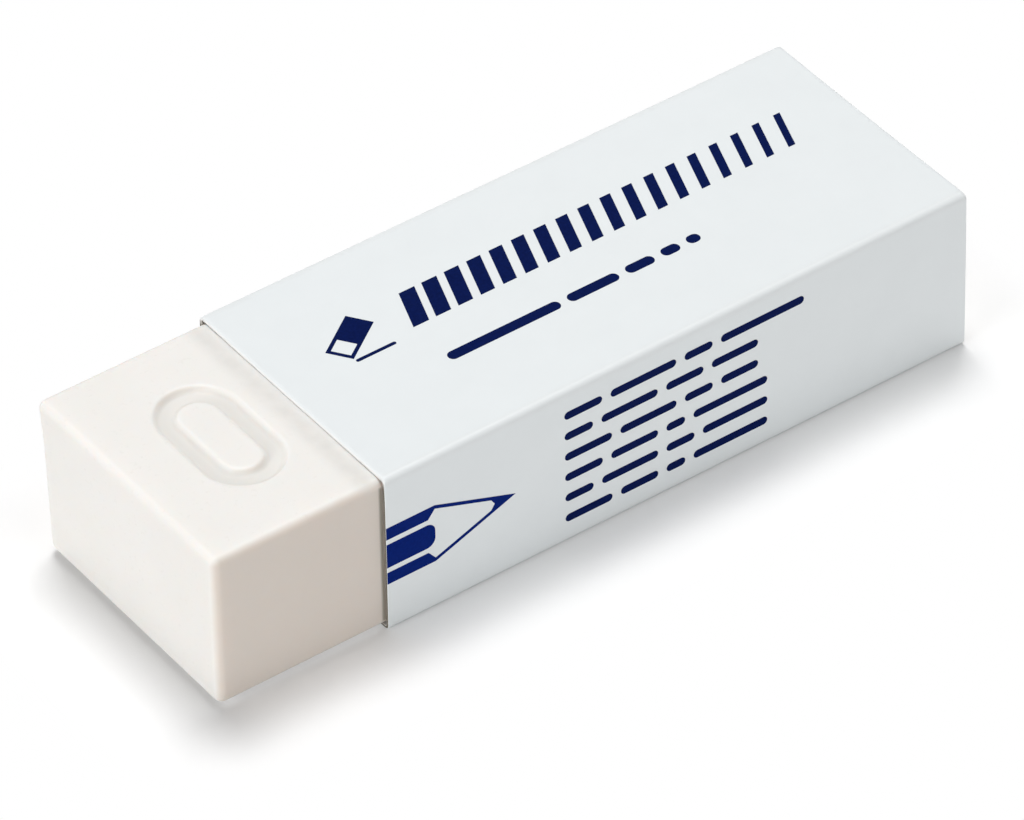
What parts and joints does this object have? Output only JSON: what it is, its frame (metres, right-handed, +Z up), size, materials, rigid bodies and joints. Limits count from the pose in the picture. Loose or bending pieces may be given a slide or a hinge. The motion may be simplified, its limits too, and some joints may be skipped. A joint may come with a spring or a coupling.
{
  "type": "rubber eraser",
  "caption": "Block eraser of soft white vinyl in a folded card sleeve that slides along it, with a sunk oval on its bare end and plain navy print.",
  "frame": {"origin": "midway along the block and across the sleeve, on the surface that the eraser lies on", "axes": "+X along the eraser from its bare end to the sleeve's far end, +Y towards the sleeve's glued side, +Z up; the printed side faces -Y"},
  "size_m": [0.0652, 0.0221, 0.014],
  "materials": {
    "white_vinyl": "matte",
    "white_card": "satin",
    "navy_ink": "satin"
  },
  "bodies": {
    "block": {"eraser_block": "white_vinyl"},
    "sleeve": {"card_sleeve": "white_card", "top_print": "navy_ink", "side_print": "navy_ink"}
  },
  "joints": [
    {"name": "sleeve_slide", "type": "slide", "parent": "block", "child": "sleeve", "axis": [1, 0, 0], "range_m": [-0.0141, 0.0511]}
  ]
}
